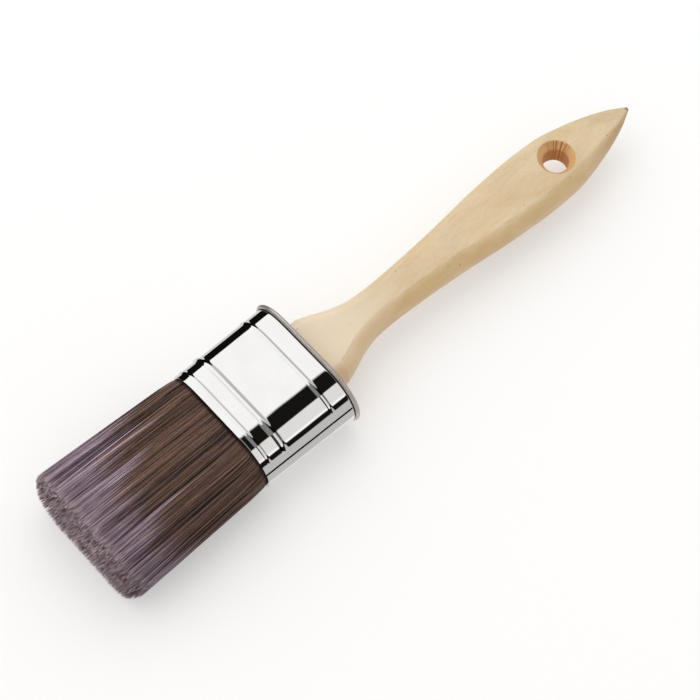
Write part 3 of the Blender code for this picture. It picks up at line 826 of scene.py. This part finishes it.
def filament_rows(x, z, out, tone, shorter, turn):
    """Centre lines, thicknesses and colours of a group of filaments; the colour turns sooner towards -X."""
    tip_x, tip_z = x[:, -1], z[:, -1]
    end = trimmed_end(tip_x, tip_z) - shorter
    y = MOUTH_Y - out[None, :] * end[:, None]
    size = random.uniform(0.85, 1.2, len(x))[:, None]
    radius = FILAMENT_RADIUS * size * (1 - FILAMENT_THINNING * smooth_step(0.7, 1.0, out))[None, :]
    radius[:, -1] *= 0.45     # rounds the tip off
    turning = COLOUR_TURNS + 0.07 * random.normal(0, 1, len(x)) + turn
    turning -= 0.12 * smooth_step(0.008, -0.008, tip_x) + 0.18 * smooth_step(-0.010, -0.023, tip_x)
    along = np.broadcast_to(out[None, :], x.shape)
    return {"x": x, "y": y, "z": z + AXIS_Z, "radius": radius, "along": along,
            "tone": np.clip(tone, 0, 1), "turning": turning}


def surface_filaments():
    """Layers of full-length filaments under the pack's surface."""
    out = np.array([-0.07, 0.0, 0.01, 0.02, 0.05, 0.13, 0.24, 0.37, 0.50, 0.63, 0.76, 0.88, 0.97, 1.0])
    shallowest = 0.00010
    groups = []
    for layer in range(SURFACE_LAYERS):
        depth = shallowest + LAYER_DEPTH * layer
        outline = 4 * FLAT_HALF + 2 * math.pi * (INSIDE_RADIUS - depth)
        count = int(outline / SURFACE_PITCH)
        pitch = LOCK_PITCH + 0.00015 * (layer % 3)
        x, z, lock_tone, lock_turn = lock_paths(count, depth, out, pitch)
        tone = 0.5 + 0.17 * lock_tone + 0.25 * random.normal(0, 1, count)
        shorter = random.exponential(0.0005, count) + 0.0006 * max(0.0, 1 - layer / 3)
        groups.append(filament_rows(x, z, out, tone, shorter, 0.09 * lock_turn))
    return groups


def patches(x, z):
    """Random values that neighbours share."""
    cells = 80
    grid = random.normal(0, 1, (cells, cells))
    column, row = [np.floor(place / PATCH_SIZE + cells / 2).astype(int) for place in (x, z)]
    return grid[column, row]


def core_filaments():
    """The inner filaments, which show at the trimmed end and behind the bend of a pressed pack."""
    out = np.array([0.0, 0.12, 0.28, 0.50, 0.80, 0.95, 0.985, 1.0])
    x, z = core_paths(out)
    clump, clump_tone = patches(x[:, -1], z[:, -1]), patches(x[:, -1], z[:, -1])
    tone = 0.45 + 0.30 * clump_tone + 0.16 * random.normal(0, 1, len(x))
    shorter = np.abs(0.0007 * clump + random.normal(0, 0.0003, len(x)))
    group = filament_rows(x, z, out, tone, shorter, 0.0)
    group["radius"] *= 1.3 + 0.7 * smooth_step(0.7, 1.0, out)
    return [group]


def filament_tubes(group, chosen):
    """The points and the faces of the chosen filaments, as four-sided tubes with closed ends."""
    sides = np.radians(45 + 90 * np.arange(4))
    count, rings = group["x"][chosen].shape
    spin = random.uniform(0, math.pi / 2, count)[:, None, None]
    turn = spin + sides[None, None, :]
    radius = group["radius"][chosen][..., None]
    x = group["x"][chosen][..., None] + radius * np.cos(turn)
    z = group["z"][chosen][..., None] + radius * np.sin(turn)
    y = np.broadcast_to(group["y"][chosen][..., None], x.shape)
    caps = np.array([[3, 2, 1, 0], np.arange(4) + (rings - 1) * 4])
    one = np.vstack([ring_faces(rings, 4), caps])
    offsets = np.arange(count) * rings * 4
    faces = (one[None] + offsets[:, None, None]).reshape(-1, 4)
    return np.stack([x, y, z], -1).reshape(-1, 3), faces


def filament_mesh(name, members, finish):
    """One piece from the chosen filaments of each group."""
    points, faces, tones, alongs, turnings, start = [], [], [], [], [], 0
    for group, chosen in members:
        tube_points, tube_faces = filament_tubes(group, chosen)
        points.append(tube_points)
        faces.append(tube_faces + start)
        start += len(tube_points)
        each = len(tube_points) // len(chosen)
        tones.append(np.repeat(group["tone"][chosen], each))
        turnings.append(np.repeat(group["turning"][chosen], each))
        alongs.append(np.repeat(group["along"][chosen].ravel(), 4))
    attributes = {"tone": np.concatenate(tones), "along": np.concatenate(alongs),
                  "turning": np.concatenate(turnings)}
    piece = piece_from(name, np.concatenate(points), np.concatenate(faces).tolist(), attributes, sharp=70)
    piece.data.materials.append(finish)
    return piece


def build_filaments(finish):
    """One piece for each CAD tuft, made of the filaments that leave the ferrule inside its cell."""
    members = {}
    for group in surface_filaments() + core_filaments():
        homes = np.array([tuft_of(x, z - AXIS_Z) for x, z in zip(group["x"][:, 0], group["z"][:, 0])])
        for tuft in np.unique(homes):
            members.setdefault(str(tuft), []).append((group, np.flatnonzero(homes == tuft)))
    return {tuft: filament_mesh(tuft.replace("tuft", "filaments"), members[tuft], finish)
            for tuft in sorted(members)}


# Studio -----------------------------------------------------------------------
CAMERA_AZIMUTH = 48.67        # degrees from the filaments' end towards +X
CAMERA_ELEVATION = 64.63
CAMERA_DISTANCE = 0.70
LENS = 117.5                  # millimetres, on a sensor 36 wide
PAN = 1.104                   # degrees that the camera turns from the rim towards the middle of the brush
TILT = 0.349
PANELS = (                    # degrees from overhead towards +X, and the tent's brightness there
    (-180, 0.8), (-112, 0.8), (-110, 0.02), (-78, 0.02), (-76, 1.06), (-16.1, 1.06), (-15.8, 0.008),
    (13.6, 0.008), (15.6, 0.84), (54, 0.84), (57.5, 1.10), (62, 1.10), (63.5, 0.008), (80.5, 0.008),
    (81.5, 0.60), (100, 0.60), (180, 0.8),
)
END_GREY = (0.42, 0.415, 0.41)
OVERHEAD_GREY = (0.23, 0.228, 0.226)


def build_camera():
    """The camera aims a little past the ferrule's rim."""
    azimuth, elevation = math.radians(CAMERA_AZIMUTH), math.radians(CAMERA_ELEVATION)
    back = Vector((math.sin(azimuth) * math.cos(elevation), -math.cos(azimuth) * math.cos(elevation),
                   math.sin(elevation)))
    camera_data = bpy.data.cameras.new("camera")
    camera_data.lens = LENS
    camera_data.sensor_width = 36.0
    camera_data.clip_start = 0.01
    camera = bpy.data.objects.new("camera", camera_data)
    bpy.context.scene.collection.objects.link(camera)
    turned = Matrix.Rotation(math.radians(-PAN), 4, "Y") @ Matrix.Rotation(math.radians(TILT), 4, "X")
    place = Matrix.Translation(Vector((0.0, RIM_Y, AXIS_Z)) + back * CAMERA_DISTANCE)
    camera.matrix_world = place @ (-back).to_track_quat("-Z", "Y").to_matrix().to_4x4() @ turned
    bpy.context.scene.camera = camera


def tent_panels(n, turn):
    """The panels' brightness at each turn round the brush."""
    ramp = n.add("ShaderNodeValToRGB", None, Fac=n.math("ADD", n.math("DIVIDE", turn, 360.0), 0.5))
    elements = ramp.color_ramp.elements
    while len(elements) < len(PANELS):
        elements.new(0.5)
    for element, (degrees, brightness) in zip(elements, PANELS):
        element.position = (degrees + 180) / 360
    for element, (degrees, brightness) in zip(elements, PANELS):
        warm = 0.975 if degrees > 0 else 0.995
        element.color = (brightness, brightness * warm, brightness * warm ** 1.6, 1.0)
    return ramp.outputs[0]


def tent_colour(n, x, y, z):
    """The tent as mirrors see it: panels beside the brush, greyer towards its two ends."""
    turn = n.math("DEGREES", n.math("ARCTAN2", x, z))
    far = n.between(n.math("ABSOLUTE", y), 0.33, 0.95, 1.0, 0.45)
    past_end = n.math("MAXIMUM", n.between(n.minus(y), 0.38, 0.5), n.between(y, 0.78, 0.92))
    beside = n.between(turn, 2.0, 6.0, 0.0, 0.96)
    open_part = n.math("SUBTRACT", 1.0, n.times(past_end, beside))
    colour = n.mix(1.0, tent_panels(n, turn), n.times(far, open_part), kind="MULTIPLY")
    lengthwise = n.math("MAXIMUM", n.between(n.minus(y), 0.60, 0.68), n.between(y, 0.915, 0.94))
    colour = n.mix(lengthwise, colour, END_GREY)
    overhead = n.times(n.between(turn, -16.1, -15.8), n.between(turn, 13.6, 15.6, 1.0, 0.0))
    return n.mix(n.times(overhead, n.between(y, 0.12, 0.18, 1.0, 0.0)), colour, OVERHEAD_GREY)


def build_world():
    """A light tent whose long panels run beside the brush, with dark gaps between them.

    Mirrors see the panels.  Matt surfaces are lit by an even fill of about the same strength, a little
    stronger from -X and from the filaments' end, and the camera sees a plain pale surround.
    """
    world = bpy.data.worlds.new("light_tent")
    bpy.context.scene.world = world
    world.use_nodes = True
    n = Nodes(world.node_tree)
    n.tree.nodes.clear()
    x, y, z = n.parts(n.add("ShaderNodeTexCoord").outputs["Generated"])
    tent = n.add("ShaderNodeBackground", None, Color=tent_colour(n, x, y, z))
    fill_strength = n.math("SUBTRACT", 0.89, n.times(x, 0.32))
    fill_strength = n.math("ADD", fill_strength, n.between(n.minus(y), 0.3, 1.0, 0.0, 0.35))
    fill = n.add("ShaderNodeBackground", None, Color=(1.0, 0.99, 0.975), Strength=fill_strength)
    surround = n.add("ShaderNodeBackground", None, Color=(0.95, 0.95, 0.95))
    path = n.add("ShaderNodeLightPath")
    lit = n.add("ShaderNodeMixShader", None, i0=path.outputs["Is Diffuse Ray"], i1=tent.outputs[0],
                i2=fill.outputs[0])
    chosen = n.add("ShaderNodeMixShader", None, i0=path.outputs["Is Camera Ray"], i1=lit.outputs[0],
                   i2=surround.outputs[0])
    n.add("ShaderNodeOutputWorld", None, Surface=chosen.outputs[0])


def build_floor():
    """A wide sheet of pale paper."""
    half = 5.0
    corners = [(-half, -half, 0), (half, -half, 0), (half, half, 0), (-half, half, 0)]
    floor = piece_from("studio_floor", corners, [(0, 1, 2, 3)])
    floor.location.z = cad_low.z - 0.00005
    floor.data.materials.append(floor_material())


def build_card(name, near, far, brightness):
    """A card beside the brush that only reflections see: near and far are its long edges' (x, z)."""
    length = 0.9
    corners = [(near[0], -length, near[1]), (near[0], length, near[1]),
               (far[0], length, far[1]), (far[0], -length, far[1])]
    card = piece_from(name, corners, [(0, 1, 2, 3)])
    card.data.materials.append(card_material(name, brightness))
    card.visible_camera = False
    card.visible_diffuse = False
    card.visible_shadow = False
    card.visible_transmission = False


def build_key_light():
    """One large soft light from above, on the -X side, which mirrors don't see."""
    light_data = bpy.data.lights.new("key", "AREA")
    light_data.shape = "SQUARE"
    light_data.size = 1.0
    light_data.energy = 3.0
    light = bpy.data.objects.new("key", light_data)
    bpy.context.scene.collection.objects.link(light)
    light.location = (-0.45, 0.25, 0.95)
    light.rotation_euler = (-light.location).to_track_quat("-Z", "Y").to_euler()
    light.visible_glossy = False


# The scene --------------------------------------------------------------------
build_camera()
build_world()
build_floor()
build_card("studio_flag", (-0.053, 0.0015), (-0.160, 0.055), 0.0)
build_card("studio_left_card", (-0.030, 0.0006), (-0.0525, 0.0012), 0.74)
build_card("studio_right_card", (0.030, 0.0006), (0.160, 0.0405), 0.56)
build_key_light()

handle = build_handle(wood_material())
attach(handle, "root")
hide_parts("handle")

ferrule = build_ferrule(tinplate_material(), seam_gap_material(), rim_material())
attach(ferrule, "root")
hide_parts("ferrule")

for node, finish in (("resin_setting", resin_material()), ("spacer_plug", plug_material())):
    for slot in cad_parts[node].material_slots:
        slot.material = finish

for tuft, filaments in build_filaments(filament_material()).items():
    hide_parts(tuft)
    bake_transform(filaments)

bpy.context.scene.view_settings.view_transform = "Standard"
